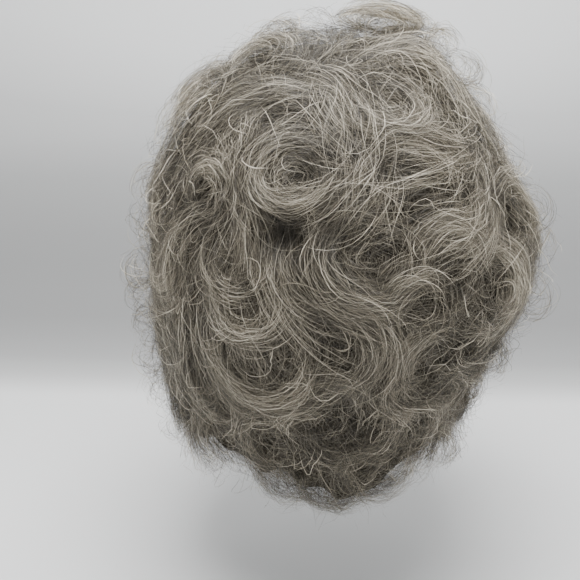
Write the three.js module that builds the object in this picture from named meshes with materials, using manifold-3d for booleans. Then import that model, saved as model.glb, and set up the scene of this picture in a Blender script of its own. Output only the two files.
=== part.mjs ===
// A short curly wig: an open cap and the hair sewn to it, in six areas with curled locks.
// Millimetres, +Z up, the face looks along -Y, and the origin is where the top of a head meets the cap.
import * as THREE from "three";
import { mergeVertices } from "three/addons/utils/BufferGeometryUtils.js";
import Module from "manifold-3d";

const wasm = await Module();
wasm.setup();

// Driving sizes of the cap, for an average head of about 546 mm round
const headHalfWidth = 76;
const headHalfDepth = 96;
const headUpper = 95;
const headLower = 120;
const capWall = 1.6;

// The hair: the clearance to the cap, how deep the backing lies under the outer form, the hem's thickness
const hairGap = 1.3;
const backingDepth = 7;
const hemThickness = 12;
const areaGap = 0.12;

// A lock's section, as shares of half its width: how far its middle lies under the outer form
// and how high it rises
const lockSunk = 0.5;
const lockRise = 0.75;

// A lock's run: its radius at the root as a share of the curl's, how much of that is lost by the tip,
// and how blunt its ends are
const lockOpening = 1.08;
const lockClosing = 0.22;
const lockBlunt = 0.45;

// How finely the forms are stepped, in counts, degrees or millimetres
const wallColumns = 30;
const capLevels = 7;
const backingLevels = 9;
const lockSides = 5;
const lockStep = 36;
const fewestSteps = 5;
const smallestStep = 0.9;
const cutStep = 0.05;
const sectorStep = 10;

// Places are turns about the head's middle: turn 0 is the face, 90 the wearer's left, 180 the back.
// Height is the angle above the head's middle.
const headMiddle = new THREE.Vector3(0, 0, -headUpper);

// Outer form of the hair: the distance from the head's middle, a row for each height from the top down
const outerStep = 20;
const outerForm = [
  { height: 90, front: 145, left: 145, back: 145, right: 145 },
  { height: 70, front: 143, left: 144, back: 144, right: 147 },
  { height: 50, front: 139, left: 138, back: 144, right: 126 },
  { height: 30, front: 134, left: 127, back: 144, right: 119 },
  { height: 10, front: 130, left: 118, back: 142, right: 122 },
  { height: -10, front: 126, left: 117, back: 139, right: 113 },
  { height: -30, front: 122, left: 127, back: 138, right: 99 },
  { height: -50, front: 120, left: 149, back: 152, right: 119 },
  { height: -70, front: 118, left: 155, back: 158, right: 133 },
];

// Lower edges, a row for each turn away from the face: the hair's hem and the cap's rim
const edgeStep = 30;
const lowerEdges = [
  { turn: 0, hem: 6, rim: 24 },
  { turn: 30, hem: 0, rim: 20 },
  { turn: 60, hem: -24, rim: -6 },
  { turn: 90, hem: -38, rim: -4 },
  { turn: 120, hem: -44, rim: -10 },
  { turn: 150, hem: -42, rim: -28 },
  { turn: 180, hem: -52, rim: -36 },
];

// The six areas of hair, each between two turns and two heights; the crown is the cone above them all
const crownEdge = 48;
const napeEdge = -18;
const lowest = -80;
const areas = [
  { name: "hair_fringe", from: -50, to: 50, low: lowest, high: crownEdge },
  { name: "hair_side_left", from: 50, to: 120, low: lowest, high: crownEdge },
  { name: "hair_side_right", from: 240, to: 310, low: lowest, high: crownEdge },
  { name: "hair_back", from: 120, to: 240, low: napeEdge, high: crownEdge },
  { name: "hair_nape", from: 120, to: 240, low: lowest, high: napeEdge },
];

// Curled locks: the middle of the curl, its radius, where it starts (0 to the right as seen from outside,
// 90 up) and how far it sweeps (plus is anticlockwise), half its width, and how high it stands
const locks = [
  // The back, as the photo shows it
  { turn: 169, height: 34, radius: 19, start: 50, sweep: 310, half: 12, lift: 2 },
  { turn: 162, height: 27, radius: 74, start: 62, sweep: 66, half: 11, lift: 0 },
  { turn: 139, height: 40, radius: 25, start: 50, sweep: -85, half: 10, lift: 0 },
  { turn: 144, height: 28, radius: 14, start: 170, sweep: -215, half: 11, lift: 2 },
  { turn: 147, height: 17, radius: 26, start: 60, sweep: -95, half: 10, lift: 0 },
  { turn: 124, height: 24, radius: 17, start: 130, sweep: 200, half: 10, lift: 0 },
  { turn: 201, height: 35, radius: 42, start: -10, sweep: -80, half: 10, lift: 2 },
  { turn: 206, height: 14, radius: 19, start: 175, sweep: -205, half: 10, lift: 2 },
  { turn: 187, height: 17, radius: 25, start: 140, sweep: 190, half: 11, lift: 1 },
  { turn: 186, height: 19, radius: 47, start: 160, sweep: 100, half: 10, lift: 1 },
  { turn: 179, height: -3, radius: 25, start: 110, sweep: -205, half: 11, lift: 1 },
  { turn: 197, height: 7, radius: 13, start: 195, sweep: -175, half: 8, lift: 2 },
  { turn: 157, height: 16, radius: 19, start: 190, sweep: 170, half: 9, lift: 1 },
  { turn: 160, height: 8, radius: 21, start: 165, sweep: 210, half: 9, lift: 2 },
  { turn: 163, height: -5, radius: 29, start: 150, sweep: 235, half: 11, lift: 2 },
  { turn: 236, height: 23, radius: 18, start: 165, sweep: -290, half: 10, lift: 3 },
  { turn: 217, height: 7, radius: 25, start: 115, sweep: -235, half: 11, lift: 3 },
  { turn: 201, height: -9, radius: 18, start: 60, sweep: 230, half: 10, lift: 0 },
  { turn: 130, height: 10, radius: 16, start: 5, sweep: -190, half: 10, lift: 3 },
  { turn: 119, height: -5, radius: 42, start: 25, sweep: -62, half: 11, lift: 0 },
  { turn: 154, height: -10, radius: 46, start: 185, sweep: 88, half: 10, lift: 1 },
  // The nape and the edge curls
  { turn: 223, height: -12, radius: 11, start: 70, sweep: -290, half: 8, lift: 2 },
  { turn: 215, height: -21, radius: 12, start: 100, sweep: -300, half: 8, lift: 3 },
  { turn: 210, height: -37, radius: 12, start: 130, sweep: -300, half: 8, lift: 3 },
  { turn: 163, height: -31, radius: 16, start: 60, sweep: 265, half: 9, lift: 1 },
  { turn: 181, height: -28, radius: 17, start: 200, sweep: 150, half: 9, lift: 0 },
  { turn: 178, height: -17, radius: 17, start: 175, sweep: -180, half: 9, lift: 1 },
  { turn: 188, height: -24, radius: 18, start: 75, sweep: -175, half: 9, lift: 1 },
  { turn: 200, height: -27, radius: 17, start: 120, sweep: -225, half: 10, lift: 1 },
  { turn: 164, height: -43, radius: 14, start: 175, sweep: 190, half: 8, lift: 0 },
  { turn: 179, height: -45, radius: 15, start: 170, sweep: 200, half: 8, lift: 0 },
  { turn: 194, height: -41, radius: 15, start: 195, sweep: 210, half: 8, lift: 1 },
  { turn: 145, height: -33, radius: 17, start: 90, sweep: 220, half: 9, lift: 0 },
  { turn: 132, height: -41, radius: 12, start: 90, sweep: 230, half: 8, lift: 2 },
  // The crown
  { turn: 197, height: 51, radius: 17, start: 150, sweep: 265, half: 11, lift: 2 },
  { turn: 130, height: 66, radius: 15, start: 0, sweep: 250, half: 10, lift: 2 },
  { turn: 280, height: 78, radius: 16, start: 100, sweep: -310, half: 10, lift: 10 },
  { turn: 218, height: 63, radius: 16, start: 150, sweep: -220, half: 10, lift: 2 },
  { turn: 246, height: 44, radius: 20, start: 130, sweep: -240, half: 11, lift: 2 },
  { turn: 104, height: 50, radius: 20, start: 60, sweep: 215, half: 11, lift: 2 },
  { turn: 68, height: 64, radius: 18, start: -30, sweep: 230, half: 11, lift: 1 },
  { turn: 20, height: 68, radius: 22, start: 220, sweep: -220, half: 11, lift: 1 },
  { turn: 330, height: 60, radius: 20, start: 40, sweep: 230, half: 11, lift: 2 },
  // The fringe
  { turn: -36, height: 36, radius: 18, start: 120, sweep: 230, half: 11, lift: 1 },
  { turn: -8, height: 38, radius: 22, start: 60, sweep: 210, half: 11, lift: 1 },
  { turn: 26, height: 37, radius: 19, start: 60, sweep: -230, half: 11, lift: 1 },
  { turn: -40, height: 12, radius: 15, start: 100, sweep: 250, half: 9, lift: 1 },
  { turn: -20, height: 16, radius: 15, start: 80, sweep: 240, half: 9, lift: 1 },
  { turn: 0, height: 16, radius: 14, start: 110, sweep: 220, half: 9, lift: 1 },
  { turn: 20, height: 14, radius: 15, start: 80, sweep: -240, half: 9, lift: 1 },
  { turn: 40, height: 10, radius: 15, start: 80, sweep: -250, half: 9, lift: 1 },
  // The wearer's left side
  { turn: 62, height: 36, radius: 20, start: 100, sweep: 230, half: 11, lift: 1 },
  { turn: 90, height: 28, radius: 19, start: 60, sweep: -230, half: 11, lift: 1 },
  { turn: 64, height: 10, radius: 18, start: 110, sweep: 230, half: 10, lift: 1 },
  { turn: 92, height: 3, radius: 19, start: 70, sweep: 225, half: 10, lift: 1 },
  { turn: 70, height: -13, radius: 16, start: 80, sweep: -240, half: 9, lift: 1 },
  { turn: 98, height: -19, radius: 17, start: 110, sweep: 230, half: 10, lift: 1 },
  { turn: 82, height: -31, radius: 14, start: 90, sweep: 250, half: 9, lift: 1 },
  { turn: 110, height: -36, radius: 14, start: 100, sweep: 250, half: 9, lift: 1 },
  // The wearer's right side
  { turn: 298, height: 36, radius: 20, start: 80, sweep: -230, half: 11, lift: 1 },
  { turn: 268, height: 24, radius: 19, start: 120, sweep: 230, half: 11, lift: 1 },
  { turn: 296, height: 10, radius: 18, start: 70, sweep: -230, half: 10, lift: 1 },
  { turn: 262, height: 1, radius: 19, start: 110, sweep: -235, half: 10, lift: 2 },
  { turn: 288, height: -13, radius: 16, start: 100, sweep: 240, half: 9, lift: 1 },
  { turn: 246, height: -19, radius: 15, start: 90, sweep: -270, half: 9, lift: 1 },
  { turn: 268, height: -26, radius: 15, start: 80, sweep: -250, half: 9, lift: 1 },
  { turn: 240, height: -36, radius: 13, start: 100, sweep: -280, half: 9, lift: 2 },
];

const hairMaterial = new THREE.MeshStandardMaterial({ color: "#6e695f", roughness: 0.55, metalness: 0 });
const capMaterial = new THREE.MeshStandardMaterial({ color: "#3d3a35", roughness: 0.9, metalness: 0 });

// A smooth curve through evenly spaced rows of a table
function alongRows(rows, column, place) {
  const last = rows.length - 1;
  const index = Math.min(Math.max(Math.floor(place), 0), last - 1);
  const t = THREE.MathUtils.clamp(place - index, 0, 1);
  const value = (offset) => rows[THREE.MathUtils.clamp(index + offset, 0, last)][column];
  const slopeIn = (value(1) - value(-1)) / 2;
  const slopeOut = (value(2) - value(0)) / 2;
  const rise = value(1) - value(0);
  return value(0) + slopeIn * t + (3 * rise - 2 * slopeIn - slopeOut) * t * t
    + (slopeIn + slopeOut - 2 * rise) * t * t * t;
}

function direction(turn, height) {
  const around = THREE.MathUtils.degToRad(turn);
  const above = THREE.MathUtils.degToRad(height);
  return new THREE.Vector3(
    Math.cos(above) * Math.sin(around),
    -Math.cos(above) * Math.cos(around),
    Math.sin(above),
  );
}

function angles(away) {
  const turn = THREE.MathUtils.radToDeg(Math.atan2(away.x, -away.y));
  const height = THREE.MathUtils.radToDeg(Math.asin(away.z / away.length()));
  return { turn, height };
}

// The distance from the head's middle to the hair's outer form, blended round the four sides
function outerRadius(turn, height) {
  const sides = ["front", "left", "back", "right"];
  const quarter = THREE.MathUtils.euclideanModulo(turn, 360) / 90;
  const side = Math.floor(quarter) % 4;
  const share = Math.sin((quarter - Math.floor(quarter)) * Math.PI / 2) ** 2;
  const place = (outerForm[0].height - height) / outerStep;
  const here = alongRows(outerForm, sides[side], place);
  const next = alongRows(outerForm, sides[(side + 1) % 4], place);
  return THREE.MathUtils.lerp(here, next, share);
}

function lowerEdge(column, turn) {
  const fromFace = Math.abs(THREE.MathUtils.euclideanModulo(turn + 180, 360) - 180);
  return alongRows(lowerEdges, column, fromFace / edgeStep);
}

// The inside of the cap is an ellipsoid, longer below the head's middle than above it
function capRadius(turn, height) {
  const away = direction(turn, height);
  const upright = away.z > 0 ? headUpper : headLower;
  return 1 / Math.hypot(away.x / headHalfWidth, away.y / headHalfDepth, away.z / upright);
}

// The hair's inner side lies on the cap, and under the cap's rim it runs out to a thin hem
function innerRadius(turn, height) {
  const onCap = capRadius(turn, height) + capWall + hairGap;
  const rim = lowerEdge("rim", turn);
  const hem = lowerEdge("hem", turn);
  const run = THREE.MathUtils.smoothstep(rim - height, 0, rim - hem);
  const atHem = outerRadius(turn, height) - backingDepth - hemThickness;
  return THREE.MathUtils.lerp(onCap, Math.max(onCap, atHem), run);
}

function pointAt(turn, height, radius) {
  return direction(turn, height).multiplyScalar(radius).add(headMiddle);
}

// A closed form drawn on a ball's grid: place(around, along) gives each point, both from 0 to 1
function formed(columns, rows, place) {
  const geometry = new THREE.SphereGeometry(1, columns, rows);
  const points = geometry.attributes.position;
  for (let row = 0; row <= rows; row += 1) {
    for (let column = 0; column <= columns; column += 1) {
      const point = place((column % columns) / columns, row / rows);
      points.setXYZ(row * (columns + 1) + column, point.x, point.y, point.z);
    }
  }
  return geometry;
}

// A wall that is open below: down its outer side to the edge, then up its inner side
function openWall(columns, levels, edge, outer, inner) {
  const rows = 2 * levels + 1;
  return formed(columns, rows, (around, along) => {
    const turn = 360 * around;
    const row = Math.round(along * rows);
    const level = Math.min(row, rows - row);
    const height = 90 - (90 - edge(turn)) * level / levels;
    const radius = row > levels ? inner(turn, height) : outer(turn, height);
    return pointAt(turn, height, radius);
  });
}

// How full a lock is along its length: round at both ends
function lockFullness(along) {
  return Math.sin(Math.PI * THREE.MathUtils.clamp(along, 0, 1)) ** lockBlunt;
}

// The middle line of a lock: an arc drawn flat over the head, closing in, then laid on the outer form
function lockPoint(lock, along) {
  const away = direction(lock.turn, lock.height);
  const base = away.clone().multiplyScalar(outerRadius(lock.turn, lock.height));
  const east = direction(lock.turn + 90, 0);
  const north = new THREE.Vector3().crossVectors(away, east);
  const angle = THREE.MathUtils.degToRad(lock.start + lock.sweep * along);
  const radius = lock.radius * (lockOpening - lockClosing * along);
  base.addScaledVector(east, radius * Math.cos(angle));
  base.addScaledVector(north, radius * Math.sin(angle));
  const { turn, height } = angles(base);
  const fullness = lockFullness(along);
  const sunk = THREE.MathUtils.lerp(backingDepth, lock.half * lockSunk - lock.lift, fullness);
  return base.setLength(outerRadius(turn, height) - sunk);
}

// A lock is a bundle along its middle line, fullest in the middle, that reaches down into the backing
function lockForm(lock) {
  const nearby = 0.02;
  const steps = Math.max(fewestSteps, Math.round(Math.abs(lock.sweep) / lockStep));
  return formed(lockSides, steps, (around, along) => {
    const middle = lockPoint(lock, along);
    const ahead = lockPoint(lock, along + nearby).sub(lockPoint(lock, along - nearby));
    const out = middle.clone().normalize();
    const across = new THREE.Vector3().crossVectors(ahead, out).normalize();
    const fullness = lockFullness(along);
    const angle = 2 * Math.PI * around + Math.PI / 2;
    const reach = Math.sin(angle) > 0 ? lock.half * lockRise : backingDepth + lock.lift;
    middle.addScaledVector(across, lock.half * fullness * Math.cos(angle));
    middle.addScaledVector(out, reach * fullness * Math.sin(angle));
    return middle.add(headMiddle);
  });
}

// The space of one area: a box bent between two turns and two heights
function sectorForm({ from, to, low, high }) {
  const nearest = 30;
  const furthest = 230;
  const columns = Math.round((to - from) / sectorStep);
  const rows = Math.ceil((high - low) / outerStep);
  const geometry = new THREE.BoxGeometry(1, 1, 1, columns, 1, rows);
  const points = geometry.attributes.position;
  for (let index = 0; index < points.count; index += 1) {
    const turn = THREE.MathUtils.lerp(from + areaGap, to - areaGap, points.getX(index) + 0.5);
    const height = THREE.MathUtils.lerp(low + areaGap, high - areaGap, points.getZ(index) + 0.5);
    const radius = THREE.MathUtils.lerp(nearest, furthest, 0.5 - points.getY(index));
    const point = pointAt(turn, height, radius);
    points.setXYZ(index, point.x, point.y, point.z);
  }
  return geometry;
}

// The crown's space: a cone that opens upwards from the head's middle
function crownForm() {
  const tall = 230;
  const wide = tall / Math.tan(THREE.MathUtils.degToRad(crownEdge + areaGap));
  const geometry = new THREE.ConeGeometry(wide, tall, 360 / sectorStep);
  geometry.rotateX(-Math.PI / 2);
  geometry.translate(0, 0, headMiddle.z + tall / 2);
  return geometry;
}

function toSolid(geometry) {
  geometry.deleteAttribute("normal");
  geometry.deleteAttribute("uv");
  const merged = mergeVertices(geometry, 1e-3);
  const triVerts = Uint32Array.from(merged.index.array);
  const vertProperties = Float32Array.from(merged.attributes.position.array);
  return new wasm.Manifold(new wasm.Mesh({ numProp: 3, vertProperties, triVerts }));
}

function toGeometry(solid) {
  const mesh = solid.getMesh();
  const geometry = new THREE.BufferGeometry();
  geometry.setAttribute("position", new THREE.BufferAttribute(Float32Array.from(mesh.vertProperties), 3));
  geometry.setIndex(new THREE.BufferAttribute(Uint32Array.from(mesh.triVerts), 1));
  geometry.computeVertexNormals();
  return geometry;
}

// The largest body of a solid, without the scraps and slivers that a cut leaves at an edge
function largest(solid) {
  const bodies = solid.simplify(cutStep).decompose();
  return bodies.reduce((best, body) => (body.volume() > best.volume() ? body : best));
}

const wig = new THREE.Group();

function addPiece(name, solid, material) {
  const mesh = new THREE.Mesh(toGeometry(solid), material);
  mesh.name = name;
  wig.add(mesh);
}

const cap = openWall(
  wallColumns,
  capLevels,
  (turn) => lowerEdge("rim", turn),
  (turn, height) => capRadius(turn, height) + capWall,
  capRadius,
);
addPiece("wig_cap", toSolid(cap), capMaterial);

const backing = openWall(
  wallColumns,
  backingLevels,
  (turn) => lowerEdge("hem", turn),
  (turn, height) => outerRadius(turn, height) - backingDepth,
  innerRadius,
);
const tangle = locks.reduce((mass, lock) => mass.add(toSolid(lockForm(lock))), toSolid(backing));
const hair = tangle.simplify(smallestStep);

addPiece("hair_crown", largest(hair.intersect(toSolid(crownForm()))), hairMaterial);
for (const area of areas) {
  addPiece(area.name, largest(hair.intersect(toSolid(sectorForm(area)))), hairMaterial);
}

export default wig;
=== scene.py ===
import bpy
import numpy as np
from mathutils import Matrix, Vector


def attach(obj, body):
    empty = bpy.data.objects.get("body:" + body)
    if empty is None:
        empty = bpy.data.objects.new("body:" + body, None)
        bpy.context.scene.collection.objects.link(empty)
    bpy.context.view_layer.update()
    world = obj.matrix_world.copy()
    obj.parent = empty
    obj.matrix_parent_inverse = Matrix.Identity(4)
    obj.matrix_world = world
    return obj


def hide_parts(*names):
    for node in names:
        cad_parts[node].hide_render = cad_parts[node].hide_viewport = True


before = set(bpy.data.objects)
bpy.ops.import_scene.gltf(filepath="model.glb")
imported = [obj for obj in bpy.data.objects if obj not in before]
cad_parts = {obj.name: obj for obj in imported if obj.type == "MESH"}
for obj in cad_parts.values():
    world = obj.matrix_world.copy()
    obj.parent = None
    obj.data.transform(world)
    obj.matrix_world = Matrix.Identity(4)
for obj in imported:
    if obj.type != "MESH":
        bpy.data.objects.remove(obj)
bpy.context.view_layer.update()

mm = 0.001
rng = np.random.default_rng(23)

# cap and hair, the same sizes as the solids, in millimetres and degrees
# turn 0 is the face opening, 90 the wearer's left, 180 the back; height is the angle above the cap's middle
cap = {"halfWidth": 76, "halfDepth": 96, "upper": 95, "lower": 120, "wall": 1.6, "hairGap": 1.3}
middle = np.array([0.0, 0.0, -cap["upper"]]) * mm
# metres from the middle to the hair, which turn a length on the form into an angle
hairReach = {"hollow": 0.142, "trace": 0.135, "walk": 0.14}

# outer form, rows from height 90 down in steps of 20: front, left, back, right
outerRows = np.array([
    (145, 145, 145, 145),
    (143, 144, 144, 147),
    (139, 138, 144, 126),
    (134, 127, 144, 119),
    (130, 118, 142, 122),
    (126, 117, 139, 113),
    (122, 127, 138, 99),
    (120, 149, 152, 119),
    (118, 155, 158, 133),
], float) * mm

# lower edges, rows from the front round to the back in steps of 30: the hair's hem, the cap's rim
edgeRows = np.array([(6, 24), (0, 20), (-24, -6), (-38, -4), (-44, -10), (-42, -28), (-52, -36)], float)

# curled locks: middle of the curl, radius, start (0 right, 90 up), sweep (plus anticlockwise), half width
# and lift
lockColumns = ("turn", "height", "radius", "start", "sweep", "half", "lift")
lockRows = [
    # back
    (169, 34, 19, 50, 310, 12, 2),
    (162, 27, 74, 62, 66, 11, 0),
    (139, 40, 25, 50, -85, 10, 0),
    (144, 28, 14, 170, -215, 11, 2),
    (147, 17, 26, 60, -95, 10, 0),
    (124, 24, 17, 130, 200, 10, 0),
    (201, 35, 42, -10, -80, 10, 2),
    (206, 14, 19, 175, -205, 10, 2),
    (187, 17, 25, 140, 190, 11, 1),
    (186, 19, 47, 160, 100, 10, 1),
    (179, -3, 25, 110, -205, 11, 1),
    (197, 7, 13, 195, -175, 8, 2),
    (157, 16, 19, 190, 170, 9, 1),
    (160, 8, 21, 165, 210, 9, 2),
    (163, -5, 29, 150, 235, 11, 2),
    (236, 23, 18, 165, -290, 10, 3),
    (217, 7, 25, 115, -235, 11, 3),
    (201, -9, 18, 60, 230, 10, 0),
    (130, 10, 16, 5, -190, 10, 3),
    (119, -5, 42, 25, -62, 11, 0),
    (154, -10, 46, 185, 88, 10, 1),
    # nape and edge curls
    (223, -12, 11, 70, -290, 8, 2),
    (215, -21, 12, 100, -300, 8, 3),
    (210, -37, 12, 130, -300, 8, 3),
    (163, -31, 16, 60, 265, 9, 1),
    (181, -28, 17, 200, 150, 9, 0),
    (178, -17, 17, 175, -180, 9, 1),
    (188, -24, 18, 75, -175, 9, 1),
    (200, -27, 17, 120, -225, 10, 1),
    (164, -43, 14, 175, 190, 8, 0),
    (179, -45, 15, 170, 200, 8, 0),
    (194, -41, 15, 195, 210, 8, 1),
    (145, -33, 17, 90, 220, 9, 0),
    (132, -41, 12, 90, 230, 8, 2),
    # crown
    (197, 51, 17, 150, 265, 11, 2),
    (130, 66, 15, 0, 250, 10, 2),
    (280, 78, 16, 100, -310, 10, 10),
    (218, 63, 16, 150, -220, 10, 2),
    (246, 44, 20, 130, -240, 11, 2),
    (104, 50, 20, 60, 215, 11, 2),
    (68, 64, 18, -30, 230, 11, 1),
    (20, 68, 22, 220, -220, 11, 1),
    (330, 60, 20, 40, 230, 11, 2),
    # fringe
    (-36, 36, 18, 120, 230, 11, 1),
    (-8, 38, 22, 60, 210, 11, 1),
    (26, 37, 19, 60, -230, 11, 1),
    (-40, 12, 15, 100, 250, 9, 1),
    (-20, 16, 15, 80, 240, 9, 1),
    (0, 16, 14, 110, 220, 9, 1),
    (20, 14, 15, 80, -240, 9, 1),
    (40, 10, 15, 80, -250, 9, 1),
    # wearer's left side
    (62, 36, 20, 100, 230, 11, 1),
    (90, 28, 19, 60, -230, 11, 1),
    (64, 10, 18, 110, 230, 10, 1),
    (92, 3, 19, 70, 225, 10, 1),
    (70, -13, 16, 80, -240, 9, 1),
    (98, -19, 17, 110, 230, 10, 1),
    (82, -31, 14, 90, 250, 9, 1),
    (110, -36, 14, 100, 250, 9, 1),
    # wearer's right side
    (298, 36, 20, 80, -230, 11, 1),
    (268, 24, 19, 120, 230, 11, 1),
    (296, 10, 18, 70, -230, 10, 1),
    (262, 1, 19, 110, -235, 10, 2),
    (288, -13, 16, 100, 240, 9, 1),
    (246, -19, 15, 90, -270, 9, 1),
    (268, -26, 15, 80, -250, 9, 1),
    (240, -36, 13, 100, -280, 9, 2),
]
# loose sheets and small curls lying over the locks, too thin to be solids, in the same columns
sheetRows = [
    (152, 34, 74, 48, -54, 12, 4),
    (198, 52, 33, 165, 120, 10, 1),
    (198, 31, 24, 195, -175, 10, 1),
    (203, 30, 31, 118, -85, 8, 2),
    (203, 35, 43, 2, -82, 8, 5),
    (140, 29, 26, 62, -68, 7, 4),
    (194, 59, 70, -25, -68, 9, 3),
    (232, 67, 9, 60, -300, 9, 2),
    (221, 7, 9, 60, -290, 9, 6),
    (200, 48, 50, 80, -75, 10, 4),
    (169, 33, 8, 20, 330, 6, 2),
    (176, -4, 40, 148, 64, 9, 0),
    (150, 8, 42, 140, 85, 11, 2),
    (112, -18, 40, -35, 75, 11, 2),
    (196, -15, 9, 40, 300, 6, 3),
    (207, -17, 8, 120, -300, 6, 3),
    (213, -6, 9, 200, 290, 6, 3),
    (204, -34, 8, 20, -310, 6, 3),
    (187, -37, 9, 90, 300, 6, 3),
    (212, -30, 7, 160, -300, 6, 3),
    (172, -23, 9, 10, 290, 6, 3),
    (194, -23, 8, 250, -300, 6, 3),
    (150, -24, 9, 70, -300, 6, 3),
    (170, -37, 8, 140, 300, 6, 3),
]
lock = dict(zip(lockColumns, np.array(lockRows + sheetRows, float).T))
for column in ("radius", "half", "lift"):
    lock[column] = lock[column] * mm

# areas of hair, as the solids are divided: from turn, to turn, low height, high height
crownEdge, napeEdge = 48, -18
areaRanges = {
    "fringe": (-50, 50, -90, crownEdge),
    "side_left": (50, 120, -90, crownEdge),
    "side_right": (240, 310, -90, crownEdge),
    "back": (120, 240, napeEdge, crownEdge),
    "nape": (120, 240, -90, napeEdge),
    "crown": (-180, 180, crownEdge, 91),
}


def unit(vectors):
    return vectors / np.maximum(np.linalg.norm(vectors, axis=-1, keepdims=True), 1e-12)


# smooth cubic through evenly spaced rows, with each slope taken from the rows on either side
def alongRows(column, place):
    last = len(column) - 1
    index = np.clip(np.floor(place).astype(int), 0, last - 1)
    t = np.clip(place - index, 0, 1)
    here, after = column[index], column[index + 1]
    before, later = column[np.maximum(index - 1, 0)], column[np.minimum(index + 2, last)]
    slopeIn, slopeOut, rise = (after - before) / 2, (later - here) / 2, after - here
    square, cube = 3 * rise - 2 * slopeIn - slopeOut, slopeIn + slopeOut - 2 * rise
    return here + slopeIn * t + square * t**2 + cube * t**3


# (cos height sin turn, -cos height cos turn, sin height)
def direction(turn, height):
    a, b = np.radians(turn), np.radians(height)
    a, b = np.broadcast_arrays(a, b)
    return np.stack([np.cos(b) * np.sin(a), -np.cos(b) * np.cos(a), np.sin(b)], -1)


# turn and height of a direction
def anglesOf(away):
    away = unit(away)
    turn = np.degrees(np.arctan2(away[..., 0], -away[..., 1]))
    height = np.degrees(np.arcsin(np.clip(away[..., 2], -1, 1)))
    return turn, height


# distance from the middle to the outer form: the four side columns blended by sin squared of the turn
def outerRadius(turn, height):
    turn, height = np.broadcast_arrays(np.asarray(turn, float), np.asarray(height, float))
    place = (90 - height) / 20
    sides = np.stack([alongRows(outerRows[:, k], place) for k in range(4)], -1)
    quarter = np.mod(turn, 360) / 90
    side = np.floor(quarter).astype(int) % 4
    share = np.sin((quarter - np.floor(quarter)) * np.pi / 2) ** 2
    here = np.take_along_axis(sides, side[..., None], -1)[..., 0]
    after = np.take_along_axis(sides, (side[..., None] + 1) % 4, -1)[..., 0]
    return here * (1 - share) + after * share


def outerAlong(away):
    return outerRadius(*anglesOf(away))


# height of the hair's hem, column 0, or of the cap's rim, column 1
def edgeHeight(turn, column):
    fromFace = np.abs(np.mod(np.asarray(turn, float) + 180, 360) - 180)
    return alongRows(edgeRows[:, column], fromFace / 30)


# inside of the cap: an ellipsoid, longer below the middle
def capRadius(turn, height):
    away = direction(turn, height)
    upright = np.where(away[..., 2] > 0, cap["upper"], cap["lower"])
    x, y, z = away[..., 0] / cap["halfWidth"], away[..., 1] / cap["halfDepth"], away[..., 2] / upright
    return mm / np.sqrt(x**2 + y**2 + z**2)


# deep places between the curls: turn, height, breadth in millimetres, depth in millimetres
hollowRows = [
    (168, 21, 13, 11),
    (180, 20, 16, 7),
    (179, 8, 30, 2.5),
    (183, -12, 24, 1.5),
    (151, 30, 7, 5),
    (153, 25, 10, 4),
    (226, 20, 13, 6),
    (169, 35, 24, 3),
    (171, 16, 6, 5),
    (174, 10, 6, 5),
    (177, 5, 6, 4.5),
    (178, -1, 6, 4),
    (161, 8, 8, 5),
    (183, 41, 7, 5),
    (186, 39, 7, 6),
    (190, 38, 7, 5),
    (143, 58, 5, 5),
    (147, 60, 5, 6),
    (153, 61, 5, 6),
    (160, 60, 5, 6),
    (166, 58, 5, 4),
    (149, 50, 5, 5),
    (154, 51, 5, 4),
    (184, 27, 13, 3),
    (192, 35, 11, 7),
    (197, 27, 10, 6),
    (226, 27, 12, 6),
    (233, 26, 14, 4),
    (206, 14, 12, 2.5),
    (171, -40, 12, 4),
    (238, -13, 13, 13),
    (232, -8, 10, 9),
    (246, -10, 11, 9),
    (15, 75, 12, 8),
    (226, -15, 8, 8),
    (222, -25, 8, 8),
    (219, -43, 9, 8),
]


# depth of the deepest hollow at a place, each one a bell of its breadth
def hollowDepth(away):
    turn, height, breadth, depth = np.array(hollowRows, float).T
    apart = np.arccos(np.clip(unit(away) @ direction(turn, height).T, -1, 1)) * hairReach["hollow"]
    return np.max(depth * mm * np.exp(-(apart / (breadth * mm))**2), -1)


# the frame of each curl: its middle's direction, east and north on the form, and the form's distance there
curlAway = direction(lock["turn"], lock["height"])
curlEast = direction(lock["turn"] + 90, 0 * lock["height"])
curlNorth = np.cross(curlAway, curlEast)
curlReach = outerRadius(lock["turn"], lock["height"])
curlSign = np.sign(lock["sweep"])


# each place as every curl sees it: how far it faces the same way, and its distance east and north
def fromCurls(away):
    facing = away @ curlAway.T
    scale = curlReach / np.maximum(facing, 0.25)
    return facing, (away @ curlEast.T) * scale, (away @ curlNorth.T) * scale


# pulls on the hair's course; a curl's pull fades in half widths off its ring, in degrees past its ends,
# towards its middle and beyond the places that face its way
sameSide = 0.45
flow = {"whorl": (178, 57), "whorlWide": 0.35, "fromWhorl": 0.75, "down": 0.55, "roundWhorl": 0.7,
        "baseWeight": 0.16, "inside": 1.7, "outside": 1.0, "endFade": 28.0,
        "coreRise": 1.9, "coreStart": 0.43}
whorlAway = direction(*flow["whorl"])


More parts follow.
